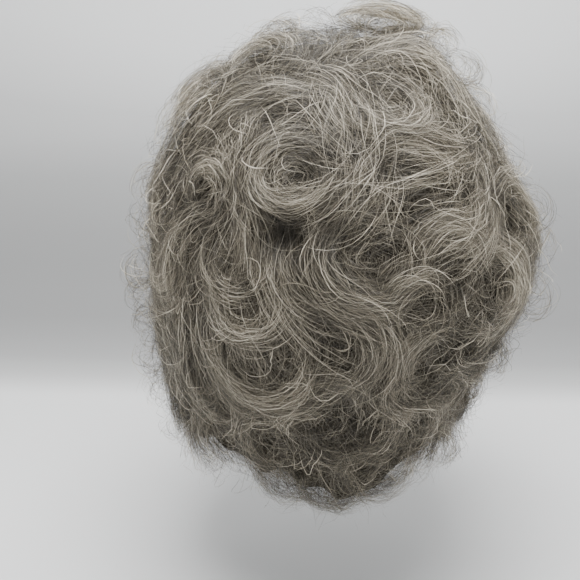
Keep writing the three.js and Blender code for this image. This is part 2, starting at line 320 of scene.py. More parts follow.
# which way the hair runs: away from the whorl and down, and round every curl near its ring
def flowAt(away):
    toWhorl = unit(whorlAway - away * (away @ whorlAway)[:, None])
    down = np.array([0, 0, -1.0]) + away * away[:, 2:]
    near = np.exp(-(np.arccos(np.clip(away @ whorlAway, -1, 1)) / flow["whorlWide"])**2)[:, None]
    base = -flow["fromWhorl"] * toWhorl + flow["down"] * down
    base = base + flow["roundWhorl"] * near * np.cross(away, toWhorl)
    facing, u, v = fromCurls(away)
    r, phi = np.hypot(u, v), np.arctan2(v, u)
    done = np.mod((np.degrees(phi) - lock["start"]) * curlSign, 360)
    whole = np.abs(lock["sweep"])
    past = np.where(done < whole, 0, np.minimum(done - whole, 360 - done))
    wide = np.where(r < lock["radius"], flow["inside"], flow["outside"]) * lock["half"]
    weight = np.exp(-((r - lock["radius"]) / wide)**2 - (past / flow["endFade"])**2)
    core = np.clip(flow["coreRise"] * r / lock["radius"] - flow["coreStart"], 0, 1)**2
    weight = weight * (facing > sameSide) * core
    pull = (-np.sin(phi) * curlSign * weight) @ curlEast + (np.cos(phi) * curlSign * weight) @ curlNorth
    total = pull + flow["baseWeight"] * base
    return unit(total - away * np.sum(total * away, -1, keepdims=True))


# place on every curl's ring: distance past its radius, degrees done of its sweep, and how near it is
ring = {"early": 40, "inside": 1.5, "outside": 1.0, "endFade": 25}


def ringPlace(away):
    facing, u, v = fromCurls(away)
    past = np.hypot(u, v) - lock["radius"]
    done = np.degrees(np.arctan2(v, u)) - lock["start"]
    done = np.mod(done * curlSign + ring["early"], 360) - ring["early"]
    over = np.maximum(np.maximum(-done, done - np.abs(lock["sweep"])), 0)
    wide = np.where(past < 0, ring["inside"], ring["outside"]) * lock["half"]
    near = np.exp(-(past / wide)**2 - (over / ring["endFade"])**2) * (facing > sameSide)
    return past, done, near


# frizz of the lower hair: 0 above the middle, rising to 1 some degrees below it
frizz = {"fullBelow": 30, "moreWobble": 1.6}


def lowDown(height):
    return np.clip(-height / frizz["fullBelow"], 0, 1)


# slow wobble along each strand: sine waves of random direction and phase, growing from the root and
# towards the hem
def wobble(paths, amount, waves):
    count, points = paths.shape[:2]
    low = lowDown(anglesOf(paths[:, :1] - middle)[1])
    amount = amount * (1 + frizz["moreWobble"] * low)[..., None]
    t = np.linspace(0, 1, points)[None, :, None]
    total = 0
    for wave in waves:
        push = rng.normal(size=(count, 1, 3))
        phase = rng.uniform(0, 2 * np.pi, (count, 1, 1))
        pace = wave * rng.uniform(0.7, 1.3, (count, 1, 1))
        total = total + push * np.sin(2 * np.pi * pace * t + phase) / wave
    grow = np.clip(t * 3, 0.15, 1)
    return paths + amount * total * grow


# painted shade of a point by its depth, standing in for the shadow deep in the hair: brightest at the curls'
# crests, falling away exponentially below them
depthScale = {"crest": 4.0 * mm, "fall": 8.0 * mm, "darkest": 0.02, "range": 0.9}


def depthShade(points):
    away = points - middle
    deep = outerAlong(away) + depthScale["crest"] - np.linalg.norm(away, axis=-1)
    fade = np.exp(-np.maximum(deep, 0) / depthScale["fall"])
    return depthScale["darkest"] + depthScale["range"] * fade


# painted shade along a strand: by depth, wavering a little as it passes under others, with a slight rise
# that gives each face some width in the map
def strandShade(paths):
    count, points = paths.shape[:2]
    t = np.linspace(0, 1, points)
    waver = np.sin(2 * np.pi * (rng.uniform(1, 2.2, (count, 1)) * t + rng.uniform(0, 1, (count, 1))))
    return depthShade(paths) * (0.86 + 0.14 * waver) + 0.04 * t


# how much of a curl lies at a place, 0 in the hollows and 1 on a ring
def coverAt(away):
    flat = away.reshape(-1, 3)
    return np.max(ringPlace(flat)[2], -1).reshape(away.shape[:-1])


# strand as a flat tapered ribbon: path plus or minus half the width along a side that rolls about the path
ribbon = {"root": 0.75, "tipLoss": 0.72, "thin": 0.7, "paleThicker": 0.65, "mapParts": 72, "twist": 0.5,
          "roll": 0.45, "looseRoll": 2.0}


def ribbonMesh(name, paths, thick, tone, roll):
    count, points = paths.shape[:2]
    ahead = unit(np.gradient(paths, axis=1))
    out = paths - middle
    out = unit(out - ahead * np.sum(out * ahead, -1, keepdims=True))
    t = np.linspace(0, 1, points)
    roll = (rng.normal(0, roll, (count, 1)) + rng.normal(0, ribbon["twist"], (count, 1)) * t)[..., None]
    side = np.cross(ahead, out) * np.cos(roll) + out * np.sin(roll)
    widening = ribbon["root"] + (1 - ribbon["root"]) * np.clip(t * 4, 0, 1)
    taper = widening * (1 - ribbon["tipLoss"] * t**3)
    coarse = thick * (ribbon["thin"] + ribbon["paleThicker"] * np.clip(tone, 0, 1))
    reach = side * (coarse[:, None] * taper)[..., None]
    verts = np.stack([paths - reach, paths + reach], 2)
    k = np.arange(points - 1) * 2
    quads = np.arange(count)[:, None, None] * points * 2 + np.stack([k, k + 1, k + 3, k + 2], -1)
    shade = strandShade(paths)
    across = np.broadcast_to(np.array([0, 1, 1, 0]) / ribbon["mapParts"], (points - 1, 4))
    u = np.clip(tone, 0.01, 0.97)[:, None, None] + across
    v = np.stack([shade[:, :-1], shade[:, :-1], shade[:, 1:], shade[:, 1:]], -1)
    uvs = np.stack([u, v], -1).reshape(-1, 2)
    return meshFrom(name, verts.reshape(-1, 3), quads.ravel(), np.arange(quads.size // 4) * 4, uvs)


# corners of the quads and then of the triangles in one run, and where each face starts in it
def faceRun(quads, triangles):
    starts = np.concatenate([np.arange(len(quads)) * 4, len(quads) * 4 + np.arange(len(triangles)) * 3])
    return np.concatenate([quads.ravel(), triangles.ravel()]), starts


# smooth mesh and its map from whole arrays
def meshFrom(name, verts, loops, starts, uvs):
    mesh = bpy.data.meshes.new(name)
    mesh.vertices.add(len(verts))
    mesh.vertices.foreach_set("co", np.ascontiguousarray(verts, np.float32).ravel())
    mesh.loops.add(len(loops))
    mesh.loops.foreach_set("vertex_index", loops.astype(np.int32))
    mesh.polygons.add(len(starts))
    mesh.polygons.foreach_set("loop_start", starts.astype(np.int32))
    mesh.update(calc_edges=True)
    mesh.polygons.foreach_set("use_smooth", np.ones(len(starts), bool))
    layer = mesh.uv_layers.new(name="OFBake")
    layer.data.foreach_set("uv", np.ascontiguousarray(uvs, np.float32).ravel())
    mesh.validate()
    piece = bpy.data.objects.new(name, mesh)
    bpy.context.scene.collection.objects.link(piece)
    return piece


# lock strands, in wisps: each wisp follows part of its curl's ring, off its middle and tightening by its
# own amount, and its strands run beside it, crossing a little
# across, startTurn, flare and offMiddle hold the spread of the wisps and that of the strands in one
lockHair = {"perArea": 0.092, "fewest": 24, "each": 5, "points": 9, "across": (0.70, 0.22), "layerOwn": 0.10,
            "startTurn": (15.0, 4.0), "flare": (0.21, 0.12), "offMiddle": (0.16, 0.06), "span": (0.5, 0.85),
            "longest": 175.0, "tighten": (-0.12, 0.34), "innermost": 0.4, "loose": 0.26,
            "looseRise": (1.5 * mm, 8 * mm), "rootSink": 4.5 * mm, "endSink": 6 * mm,
            "thick": (0.045 * mm, 0.088 * mm), "wobble": 0.6 * mm, "waves": (0.8, 1.7),
            "tone": 0.57, "paintedDeepShade": 0.18}


# more strands at the back, which shows most, and fewer over the face opening
def shareAt(turn):
    return 0.86 - 0.31 * np.cos(np.radians(turn))


def lockStrands():
    arc = np.abs(np.radians(lock["sweep"])) * lock["radius"]
    wanted = lockHair["perArea"] * arc * lock["half"] / mm**2 * shareAt(lock["turn"])
    counts = np.maximum(wanted, lockHair["fewest"]).astype(int)
    j = np.repeat(np.arange(len(counts)), counts)
    m = len(j)
    w = np.repeat(np.arange(m), lockHair["each"])
    n = len(w)

    def perWisp(values, own):
        return values[w][:, None] + rng.normal(0, 1, (n, 1)) * own

    t = np.linspace(0, 1, lockHair["points"])[None]
    across = perWisp(rng.normal(0, lockHair["across"][0], m), lockHair["across"][1])
    across = np.where(across < 0, 0.5 * across, 1.1 * across)
    layer = np.clip(perWisp(rng.uniform(0, 1, m)**1.4, lockHair["layerOwn"]), 0, 1.2)
    span = rng.uniform(*lockHair["span"], m) * np.minimum(1, lockHair["longest"] / np.abs(lock["sweep"][j]))
    begin = -0.1 + rng.uniform(0, 1, m) * (1.08 - span)
    tau = perWisp(begin, 0.03) + perWisp(span, 0.05) * t
    j = j[w]
    half, radius = lock["half"][j][:, None], lock["radius"][j][:, None]
    shift = perWisp(rng.normal(0, lockHair["startTurn"][0], m), lockHair["startTurn"][1])
    angle = np.radians(lock["start"][j][:, None] + shift + lock["sweep"][j][:, None] * tau)
    tighten = perWisp(rng.uniform(*lockHair["tighten"], m), 0.05)
    flare = perWisp(rng.normal(0, lockHair["flare"][0], m), lockHair["flare"][1]) * radius
    narrowing = 1 - 0.35 * np.clip(tau, 0, 1)**2
    r = radius * (1.08 - tighten * tau) + across * half * narrowing + flare * t**3
    r = np.maximum(r, lockHair["innermost"] * radius)
    wispOff, strandOff = lockHair["offMiddle"]
    x = r * np.cos(angle) + perWisp(rng.normal(0, wispOff, m), strandOff) * radius
    y = r * np.sin(angle) + perWisp(rng.normal(0, wispOff, m), strandOff) * radius
    reach = curlAway[j][:, None] * curlReach[j][:, None, None]
    away = reach + curlEast[j][:, None] * x[..., None] + curlNorth[j][:, None] * y[..., None]
    full = np.sin(np.pi * np.clip(0.06 + 0.86 * tau, 0.02, 0.98))**0.4
    dome = np.sqrt(np.clip(1 - (0.8 * across)**2, 0, 1))
    stand = -0.5 * half + lock["lift"][j][:, None] + half * (0.78 * dome - 0.7 * layer)
    loose = (rng.uniform(size=m) < lockHair["loose"]) * rng.uniform(*lockHair["looseRise"], m)
    rise = perWisp(loose, 0.7 * mm) * t**2 - lockHair["rootSink"] * np.clip(1 - t * 4, 0, 1)**1.5
    radial = outerAlong(away) + stand * full - lockHair["endSink"] * (1 - full) + rise - hollowDepth(away)
    paths = middle + unit(away) * radial[..., None]
    paths = wobble(paths, lockHair["wobble"], lockHair["waves"])
    # strands in a lock's lower layers are darkened with painted shade, the more the deeper they lie
    tone = toneOf(paths, lockHair["tone"] - lockHair["paintedDeepShade"] * layer[:, 0] + 0.06 * rng.normal(size=m)[w])
    return paths, rng.uniform(*lockHair["thick"], n), tone


# tone of each strand along the palette: white, grey and dark strands mixed, more unlike one another on top,
# a painted contrast where the light falls most, darker low down as painted shade, and paler round one spot
# of the crown
toneMix = {"spread": 0.19, "whiteAbove": 0.80, "whiter": (0.18, 0.46), "darkBelow": 0.34,
           "darker": (0.15, 0.42), "paleAt": (245, 62), "paleWide": 0.4, "pale": 0.16, "lowPaintedShade": 0.09}


def toneOf(paths, centre):
    n = len(paths)
    halfway = paths[:, paths.shape[1] // 2] - middle
    height = anglesOf(halfway)[1]
    mixed = 0.95 + 0.45 * np.clip((height - 15) / 35, 0, 1) - 0.2 * lowDown(height)
    pick = rng.uniform(size=n)
    apart = rng.normal(0, toneMix["spread"], n)
    apart = apart + np.where(pick > toneMix["whiteAbove"], rng.uniform(*toneMix["whiter"], n), 0)
    apart = apart - np.where(pick < toneMix["darkBelow"], rng.uniform(*toneMix["darker"], n), 0)
    fromPale = np.arccos(np.clip(unit(halfway) @ direction(*toneMix["paleAt"]), -1, 1))
    pale = toneMix["pale"] * np.exp(-(fromPale / toneMix["paleWide"])**2)
    # the last term darkens the lower hair with painted shade, for the shadow it lies in
    return centre + mixed * apart + pale - 0.15 * (mixed - 1) - toneMix["lowPaintedShade"] * lowDown(height)


# even places over the ball on a golden-angle spiral, kept some degrees above the hem
goldenAngle = 137.50776405


def evenAway(count, lowest):
    k = np.arange(count) + 0.5
    away = direction(np.mod(k * goldenAngle, 360), np.degrees(np.arcsin(1 - 2 * k / count)))
    a, h = anglesOf(away)
    return away[h > edgeHeight(a, 0) + lowest]


# heading turned about the outward direction: heading cos swing plus its sideways partner sin swing
def turned(heading, away, swing):
    return heading * np.cos(swing) + np.cross(away, heading) * np.sin(swing)


# share of a full step left at a place, falling to nearly nothing some degrees below the hem
def roomBelow(away, below):
    turn, height = anglesOf(away)
    return np.clip((height - edgeHeight(turn, 0) + below) / 8, 0.05, 1)


# path over the ball from each seed: a few steps back against the flow and the rest along it, swinging from
# side to side
trace = {"follow": 0.62, "keepOn": 0.38, "swingPace": 1.1}


def traced(seeds, backward, forward, step, turn, swing, phase, below=5.0):
    sides = []
    for sense, steps in ((-1, backward), (1, forward)):
        away, track, last = seeds, [], flowAt(seeds)
        for k in range(steps):
            bend = (turn + swing * np.sin(phase + sense * k * trace["swingPace"]))[:, None]
            last = unit(trace["follow"] * flowAt(away) + trace["keepOn"] * last)
            ahead = sense * turned(last, away, bend)
            away = unit(away * hairReach["trace"] + ahead * (step * roomBelow(away, below))[:, None])
            track.append(away)
        sides.append(track)
    return np.stack(sides[0][::-1] + [seeds] + sides[1], 1)


# fill strands, in wisps: traced along the flow from evenly spread seeds
fillHair = {"clumps": 7600, "each": 5, "back": 2, "ahead": 5, "step": (4.2 * mm, 8.0 * mm),
            "spread": 1.8 * mm, "depth": 6.0 * mm, "above": 2 * mm, "hollow": 3.0 * mm, "rootSink": 4 * mm,
            "clumpTurn": 13.0, "strandTurn": 6.0, "waveTurn": 14.0, "lowWave": 2.4, "loose": 0.12,
            "looseRise": (1 * mm, 6 * mm), "thick": (0.05 * mm, 0.092 * mm), "wobble": 0.5 * mm,
            "waves": (0.8, 1.8), "tone": 0.55, "paintedDeepShade": 0.22}


def fillStrands():
    clumps = evenAway(fillHair["clumps"], 1.0)
    clumps = clumps[rng.uniform(0, 1.15, len(clumps)) < shareAt(anglesOf(clumps)[0])]
    m = len(clumps)
    w = np.repeat(np.arange(m), fillHair["each"])
    n = len(w)
    offset = rng.normal(size=(n, 3)) * fillHair["spread"] / hairReach["trace"]
    clumps = unit(clumps + rng.normal(0, 0.012, (m, 3)))
    seeds = unit(clumps[w] + offset * rng.uniform(0.4, 1.2, m)[w][:, None])
    depth = fillHair["depth"] * rng.uniform(0, 1, m)**1.3
    depth = depth[w] + rng.normal(0, 0.5 * mm, n)
    step = rng.uniform(*fillHair["step"], m)[w] * rng.uniform(0.85, 1.15, n)
    turn = np.radians(rng.normal(0, fillHair["clumpTurn"], m)[w] + rng.normal(0, fillHair["strandTurn"], n))
    phase = rng.uniform(0, 2 * np.pi, m)[w] + rng.normal(0, 0.3, n)
    wave = np.radians(fillHair["waveTurn"] * (1 + fillHair["lowWave"] * lowDown(anglesOf(seeds)[1])))
    track = traced(seeds, fillHair["back"], fillHair["ahead"], step, turn, wave, phase)
    t = np.linspace(0, 1, track.shape[1])[None]
    sink = fillHair["rootSink"] * np.clip(1 - t * 4, 0, 1)**1.5
    loose = rng.uniform(size=m) < fillHair["loose"]
    rise = loose[w][:, None] * rng.uniform(*fillHair["looseRise"], m)[w][:, None] * t**2
    hollow = fillHair["hollow"] * (1 - coverAt(track))
    radial = outerAlong(track) + fillHair["above"] - depth[:, None] - hollow - sink + rise
    radial = radial - hollowDepth(track)
    paths = wobble(middle + track * radial[..., None], fillHair["wobble"], fillHair["waves"])
    # fill strands lying deeper are darkened with painted shade
    deep = fillHair["paintedDeepShade"] * depth / fillHair["depth"]
    tone = toneOf(paths, fillHair["tone"] - deep + 0.07 * rng.normal(size=m)[w])
    return paths, rng.uniform(*fillHair["thick"], n), tone


# path with a bend of its own: at each step the heading turns a little and walks on over the ball
walkBelow = 3.0    # degrees it may run below the hem


def walked(away, heading, bend, step, points):
    track = [away]
    for _ in range(points - 1):
        heading = turned(heading, away, bend)
        away = unit(away * hairReach["walk"] + heading * (step * roomBelow(away, walkBelow))[:, None])
        heading = unit(heading - away * np.sum(heading * away, -1, keepdims=True))
        track.append(away)
    return np.stack(track, 1)


# waves along the looser strands
looseWaves = (1.0, 2.0)

# flyaway strands: they leave the form at an angle to the flow, most close over it and some far out
strayHair = {"count": 12000, "upperShare": 0.72, "points": 8, "step": (3.0 * mm, 7.0 * mm), "curl": 24.0,
             "sharpest": 34, "close": (0.5 * mm, 4 * mm), "far": (4 * mm, 16 * mm), "farShare": 0.40,
             "closeTurn": 0.4, "farTurn": 0.8, "root": 3 * mm, "thick": (0.065 * mm, 0.11 * mm),
             "wobble": 0.8 * mm, "closeTone": 0.52, "farTone": 0.36, "paintedTopLight": 0.14}


def strayStrands():
    away = evenAway(strayHair["count"], 0.0)
    away = away[rng.uniform(size=len(away)) < np.where(away[:, 2] < -0.1, 1.0, strayHair["upperShare"])]
    n = len(away)
    away = unit(away + rng.normal(0, 0.03, (n, 3)))
    step = rng.uniform(*strayHair["step"], n)
    sharpest = strayHair["sharpest"]
    bend = np.radians(np.clip(rng.normal(0, strayHair["curl"], n), -sharpest, sharpest))[:, None]
    far = rng.uniform(size=n) < strayHair["farShare"]
    aside = rng.normal(0, 1, n) * np.where(far, strayHair["farTurn"], strayHair["closeTurn"])
    heading = turned(flowAt(away), away, aside[:, None])
    track = walked(away, heading, bend, step, strayHair["points"])
    t = np.linspace(0, 1, strayHair["points"])[None]
    rise = np.where(far, rng.uniform(*strayHair["far"], n), rng.uniform(*strayHair["close"], n))[:, None]
    root = strayHair["root"]
    radial = outerAlong(track) - root + (rise + root) * t**1.2 - 0.8 * hollowDepth(track)
    paths = wobble(middle + track * radial[..., None], strayHair["wobble"], looseWaves)
    thick = rng.uniform(*strayHair["thick"], n)
    tone = np.where(far, strayHair["farTone"], strayHair["closeTone"])
    # flyaways higher up are painted lighter, for the light falling from above
    return paths, thick, toneOf(paths, tone + strayHair["paintedTopLight"] * np.clip(track[:, 0, 2], 0, 1))


# arch strands, in wisps: both ends in the hair and the middle off it, by its rise times sin pi t to a power
archHair = {"count": 850, "each": 4, "points": 9, "run": (14 * mm, 38 * mm), "rise": (2 * mm, 11 * mm),
            "curl": (9, 34), "aside": 0.4, "root": 4 * mm, "thick": (0.07 * mm, 0.12 * mm),
            "wobble": 0.5 * mm, "tone": 0.5}


def archStrands():
    seeds = evenAway(archHair["count"], 3.0)
    seeds = unit(seeds + rng.normal(0, 0.04, seeds.shape))
    m = len(seeds)
    heading = turned(flowAt(seeds), seeds, rng.normal(0, archHair["aside"], m)[:, None])
    run = rng.uniform(*archHair["run"], m)
    lowest, highest = archHair["rise"]
    rise = lowest + (highest - lowest) * rng.uniform(0, 1, m)**1.5
    bend = np.radians(rng.uniform(*archHair["curl"], m) * rng.choice([-1, 1], m))
    w = np.repeat(np.arange(m), archHair["each"])
    n = len(w)
    away = unit(seeds[w] + rng.normal(0, 0.02, (n, 3)))
    heading = turned(heading[w], away, rng.normal(0, 0.2, (n, 1)))
    step = run[w] * rng.uniform(0.85, 1.15, n) / (archHair["points"] - 1)
    bend = (bend[w] + np.radians(rng.normal(0, 3, n)))[:, None]
    track = walked(away, heading, bend, step, archHair["points"])
    t = np.linspace(0, 1, archHair["points"])[None]
    stand = (rise[w] * rng.uniform(0.75, 1.15, n) + archHair["root"])[:, None]
    stand = stand * np.sin(np.pi * np.clip(t * rng.uniform(0.8, 1.0, (n, 1)), 0, 1))**0.8
    radial = outerAlong(track) - archHair["root"] + stand - hollowDepth(track)
    paths = wobble(middle + track * radial[..., None], archHair["wobble"], looseWaves)
    thick = rng.uniform(*archHair["thick"], n)
    return paths, thick, toneOf(paths, archHair["tone"] + 0.06 * rng.normal(size=m)[w])


# loops of hair standing out from the form: turn, height, half height, half length, sense, strands,
# looseness and width
loopColumns = ("turn", "height", "out", "along", "sense", "strands", "loose", "wide")
loopRows = [
    # the tuft on top
    (272, 81, 10, 25, -1, 140, 0.55, 9),
    (271, 82, 7, 18, -1, 110, 0.8, 9),
    (266, 83, 6, 22, 1, 110, 0.8, 9),
    (271, 78, 5, 18, -1, 80, 0.8, 9),
    # right edge and top, as the back view shows them
    (227, -15, 10, 11, 1, 60, 0.8, 2.5),
    (223, -25, 9, 10, 1, 60, 0.8, 2.5),
    (220, -43, 11, 12, 1, 60, 0.8, 2.5),
    (236, -36, 6, 9, -1, 26, 1, 6),
    (272, 66, 9, 12, 1, 60, 1, 6),
    (266, 60, 9, 13, -1, 60, 1, 6),
    (263, 53, 7, 12, 1, 40, 1, 6),
    (84, 75, 6, 12, 1, 40, 1, 6),
    (47, 70, 8, 12, 1, 50, 1, 7),
    (60, 68, 6, 10, -1, 30, 1, 6),
    # low ones over the upper left
    (117, 46, 5, 20, 1, 160, 1, 10),
    (111, 54, 5, 18, -1, 140, 1, 10),
    # down both edges
    (244, 22, 12, 14, -1, 20, 1, 6),
    (256, 10, 8, 12, 1, 14, 1, 6),
    (248, -3, 10, 13, -1, 18, 1, 6),
    (236, -16, 8, 9, 1, 12, 1, 6),
    (108, 2, 11, 13, -1, 44, 1, 6),
    (107, -5, 11, 10, 1, 30, 1, 6),
    (104, 16, 9, 10, -1, 20, 1, 6),
    (100, 25, 9, 12, 1, 20, 1, 6),
    (109, -13, 10, 10, 1, 26, 1, 6),
    (115, 16, 7, 10, -1, 10, 1, 6),
    (98, 37, 7, 12, 1, 10, 1, 6),
    (264, 50, 8, 12, -1, 12, 1, 6),
    (108, -24, 11, 10, -1, 30, 1, 6),
    (107, -33, 11, 10, 1, 30, 1, 6),
    (110, -42, 9, 9, -1, 22, 1, 6),
    (143, -42, 8, 9, 1, 14, 1, 6),
    # the other sides
    (72, 20, 9, 10, 1, 10, 1, 6),
    (66, 44, 9, 11, -1, 10, 1, 6),
    (292, 22, 9, 10, 1, 10, 1, 6),
    (298, 46, 9, 11, -1, 10, 1, 6),
    (30, 60, 8, 11, 1, 10, 1, 6),
    (332, 62, 8, 11, -1, 10, 1, 6),
    (74, -16, 8, 9, 1, 10, 1, 6),
    (284, -18, 8, 9, -1, 10, 1, 6),
    (20, 24, 8, 9, 1, 8, 1, 6),
    (338, 24, 8, 9, -1, 8, 1, 6),
]
loopHair = {"points": 12, "sunk": 0.55, "begin": (205, 28), "round": (130.0, 300.0), "drift": 8 * mm,
            "swing": 0.6, "footShift": 1.5 * mm, "thick": (0.06 * mm, 0.115 * mm), "wobble": 0.7 * mm,
            "tone": 0.44, "paintedTopLight": 0.2}


# ring in the plane of the outward and downward directions, out times cos a outward and along times sin a
# down, closing in, drifting sideways and swung about the outward direction
def loopStrands():
    loop = dict(zip(loopColumns, np.array(loopRows, float).T))
    away = direction(loop["turn"], loop["height"])
    foot = middle + away * (outerRadius(loop["turn"], loop["height"]) - 0.6 * hollowDepth(away))[:, None]
    east = direction(loop["turn"] + 90, 0 * loop["turn"])
    down = np.cross(east, away)
    w = np.repeat(np.arange(len(loopRows)), loop["strands"].astype(int))
    n = len(w)
    t = np.linspace(0, 1, loopHair["points"])[None]
    loose = loop["loose"][w][:, None]
    size = (0.95 + rng.uniform(-0.25, 0.15, (n, 1)) * loose) * (1 - rng.uniform(0, 0.45, (n, 1)) * t) * mm
    begin = rng.normal(*loopHair["begin"], (n, 1))
    a = np.radians(begin + t * rng.uniform(*loopHair["round"], (n, 1)))
    out = loop["out"][w][:, None] * (size * np.cos(a) + (1 - loopHair["sunk"]) * mm)
    along = loop["along"][w][:, None] * size * np.sin(a) * loop["sense"][w][:, None]
    aside = rng.normal(0, loopHair["drift"], (n, 1)) * (t - 0.4) * loose
    aside = aside + rng.normal(0, 1, (n, 1)) * loop["wide"][w][:, None] * mm
    swing = rng.normal(0, loopHair["swing"], (n, 1)) * loose
    ahead = down[w] * np.cos(swing) + east[w] * np.sin(swing)
    across = east[w] * np.cos(swing) - down[w] * np.sin(swing)
    paths = foot[w][:, None] + rng.normal(0, loopHair["footShift"], (n, 1, 3)) * loose[..., None]
    paths = paths + away[w][:, None] * out[..., None]
    paths = paths + ahead[:, None] * along[..., None] + across[:, None] * aside[..., None]
    paths = wobble(paths, loopHair["wobble"], looseWaves)
    # loops higher up are painted lighter, for the light falling from above
    light = loopHair["tone"] + loopHair["paintedTopLight"] * np.clip(loop["height"] / 60, 0, 1)
    light = light + 0.05 * rng.normal(size=len(loopRows))
    tone = toneOf(paths, light[w])
    return paths, rng.uniform(*loopHair["thick"], n), tone


# hem strands, in wisps: from just above the lower edge, running on below it as loose ends
hemHair = {"wisps": 900, "each": 4, "above": (1.0, 13.0), "depth": 9 * mm, "back": 1, "ahead": 7,
           "step": (3.5 * mm, 6.5 * mm), "turn": (32, 6), "waveTurn": 38, "below": 4.2, "backward": 18.0,
           "rootSink": 3 * mm, "tipStray": 2 * mm, "thick": (0.065 * mm, 0.12 * mm), "wobble": 0.6 * mm,
           "tone": 0.48, "paintedDeepShade": 0.1}


def hemStrands():
    m = hemHair["wisps"]
    turn = (np.arange(m) + rng.uniform(0, 1, m)) * 360 / m
    turn = np.mod(turn + hemHair["backward"] * np.sin(np.radians(turn)), 360)
    seeds = direction(turn, edgeHeight(turn, 0) + rng.uniform(*hemHair["above"], m))
    w = np.repeat(np.arange(m), hemHair["each"])
    n = len(w)
    seeds = unit(seeds[w] + rng.normal(0, 0.016, (n, 3)))
    depth = hemHair["depth"] * rng.uniform(0, 1, m)[w] + rng.normal(0, 0.6 * mm, n)
    step = rng.uniform(*hemHair["step"], m)[w] * rng.uniform(0.85, 1.15, n)
    wispTurn, strandTurn = hemHair["turn"]
    bend = np.radians(rng.normal(0, wispTurn, m)[w] + rng.normal(0, strandTurn, n))
    phase = rng.uniform(0, 2 * np.pi, m)[w] + rng.normal(0, 0.3, n)
    wave = np.radians(hemHair["waveTurn"])
    track = traced(seeds, hemHair["back"], hemHair["ahead"], step, bend, wave, phase, hemHair["below"])
    t = np.linspace(0, 1, track.shape[1])[None]
    radial = outerAlong(track) - depth[:, None] - hemHair["rootSink"] * np.clip(1 - 4 * t, 0, 1)
    radial = radial + rng.normal(0, hemHair["tipStray"], (n, 1)) * t**2
    paths = wobble(middle + track * radial[..., None], hemHair["wobble"], looseWaves)
    thick = rng.uniform(*hemHair["thick"], n)
    # hem strands lying deeper are darkened with painted shade
    return paths, thick, toneOf(paths, hemHair["tone"] - hemHair["paintedDeepShade"] * depth / hemHair["depth"])


# area of each strand, by where its first third lies
def areaOf(paths, name):
    turn, height = anglesOf(paths[:, paths.shape[1] // 3] - middle)
    low, high, bottom, top = areaRanges[name]
    return (np.mod(turn - low, 360) < high - low) & (height >= bottom) & (height < top)


# under-layer: a closed wall below the strands that swells over the locks, down the outer side to an uneven
# hem and up the inner side
underLayer = {"columns": 200, "levels": 84, "innerLevels": 16, "depth": 12 * mm, "hemDepth": 6 * mm,
              "hemZone": 22, "swell": 0.5, "hollow": 0.6, "hemUp": 3.6, "hemWave": 1.2, "hemThick": 8 * mm}
underMap = {"ring": 0.12, "sweep": 600, "fold": 45, "fall": 300}    # metres and degrees across the whole map


def underMesh(name):
    columns, levels, inside = underLayer["columns"], underLayer["levels"], underLayer["innerLevels"]
    level = np.concatenate([np.arange(levels + 1) / levels, np.arange(inside, -1, -1) / inside])[:, None]
    inner = (np.arange(len(level)) > levels)[:, None]
    turn = (np.arange(columns) * 360 / columns)[None]
    # two sine waves round the hem
    uneven = np.sin(np.radians(11 * turn)) + 0.8 * np.sin(np.radians(29 * turn + 40))
    hem = edgeHeight(turn, 0) + underLayer["hemUp"] + underLayer["hemWave"] * uneven
    height = 90 - (90 - hem) * level
    away = direction(np.broadcast_to(turn, height.shape), height)
    swell = np.max(ringPlace(away.reshape(-1, 3))[2] * lock["half"], -1).reshape(height.shape)
    nearHem = np.clip(1 - (height - hem) / underLayer["hemZone"], 0, 1)
    outer = outerRadius(turn, height) - underLayer["depth"] * (1 - nearHem) - underLayer["hemDepth"] * nearHem
    onCap = capRadius(turn, height) + (cap["wall"] + cap["hairGap"]) * mm
    rim = edgeHeight(turn, 1)
    run = np.clip((rim - height) / np.maximum(rim - hem, 1), 0, 1)
    run = run * run * (3 - 2 * run)
    under = onCap * (1 - run) + np.maximum(onCap, outer - underLayer["hemThick"]) * run
    over = outer + underLayer["swell"] * swell - underLayer["hollow"] * hollowDepth(away)
    radial = np.where(inner, under, over)
    verts = middle + away * radial[..., None]
    # the poles are one point each, so the first and last rows close as triangle fans
    rows = len(level) - 2
    body = verts[1:-1].reshape(-1, 3)
    c = np.arange(columns)
    c2 = (c + 1) % columns
    r = np.arange(rows - 1)[:, None] * columns
    quads = np.stack([r + c, r + columns + c, r + columns + c2, r + c2], -1).reshape(-1, 4)
    top, bottom, last = len(body), len(body) + 1, (rows - 1) * columns
    topFan = np.stack([0 * c + top, c, c2], -1)
    bottomFan = np.stack([last + c, 0 * c + bottom, last + c2], -1)
    fans = np.concatenate([topFan, bottomFan])
    verts = np.concatenate([body, verts[:1, 0], verts[-1:, 0]])
    loops, starts = faceRun(quads, fans)
    # each face takes the nearest curl: u runs across its ring and v along it
    centre = np.concatenate([verts[quads].mean(1), verts[fans].mean(1)]) - middle
    nearest = np.argmax(ringPlace(unit(centre))[2], -1)
    corners = np.diff(np.append(starts, len(loops)))
    corner = np.repeat(nearest, corners)
    past, done, _ = ringPlace(unit(verts[loops] - middle))
    k = np.arange(len(loops))
    u = 0.5 + past[k, corner] / underMap["ring"] + np.mod(corner * 0.618, 1) * 0.2 - 0.1
    v = 0.15 + done[k, corner] / underMap["sweep"]
    # inside, u goes to and fro all round in a slow wave and v runs down
    turn, height = anglesOf(verts[loops] - middle)
    within = np.append(np.repeat(np.arange(rows - 1) >= levels, columns), np.repeat([False, True], columns))
    within = np.repeat(within, corners)
    u = np.where(within, np.abs(np.mod(turn / underMap["fold"] + 0.05 * np.sin(height / 5), 2) - 1), u)
    v = np.where(within, 0.2 + (90 - height) / underMap["fall"], v)
    return meshFrom(name, verts, loops, starts, np.clip(np.stack([u, v], -1), 0.01, 0.99))


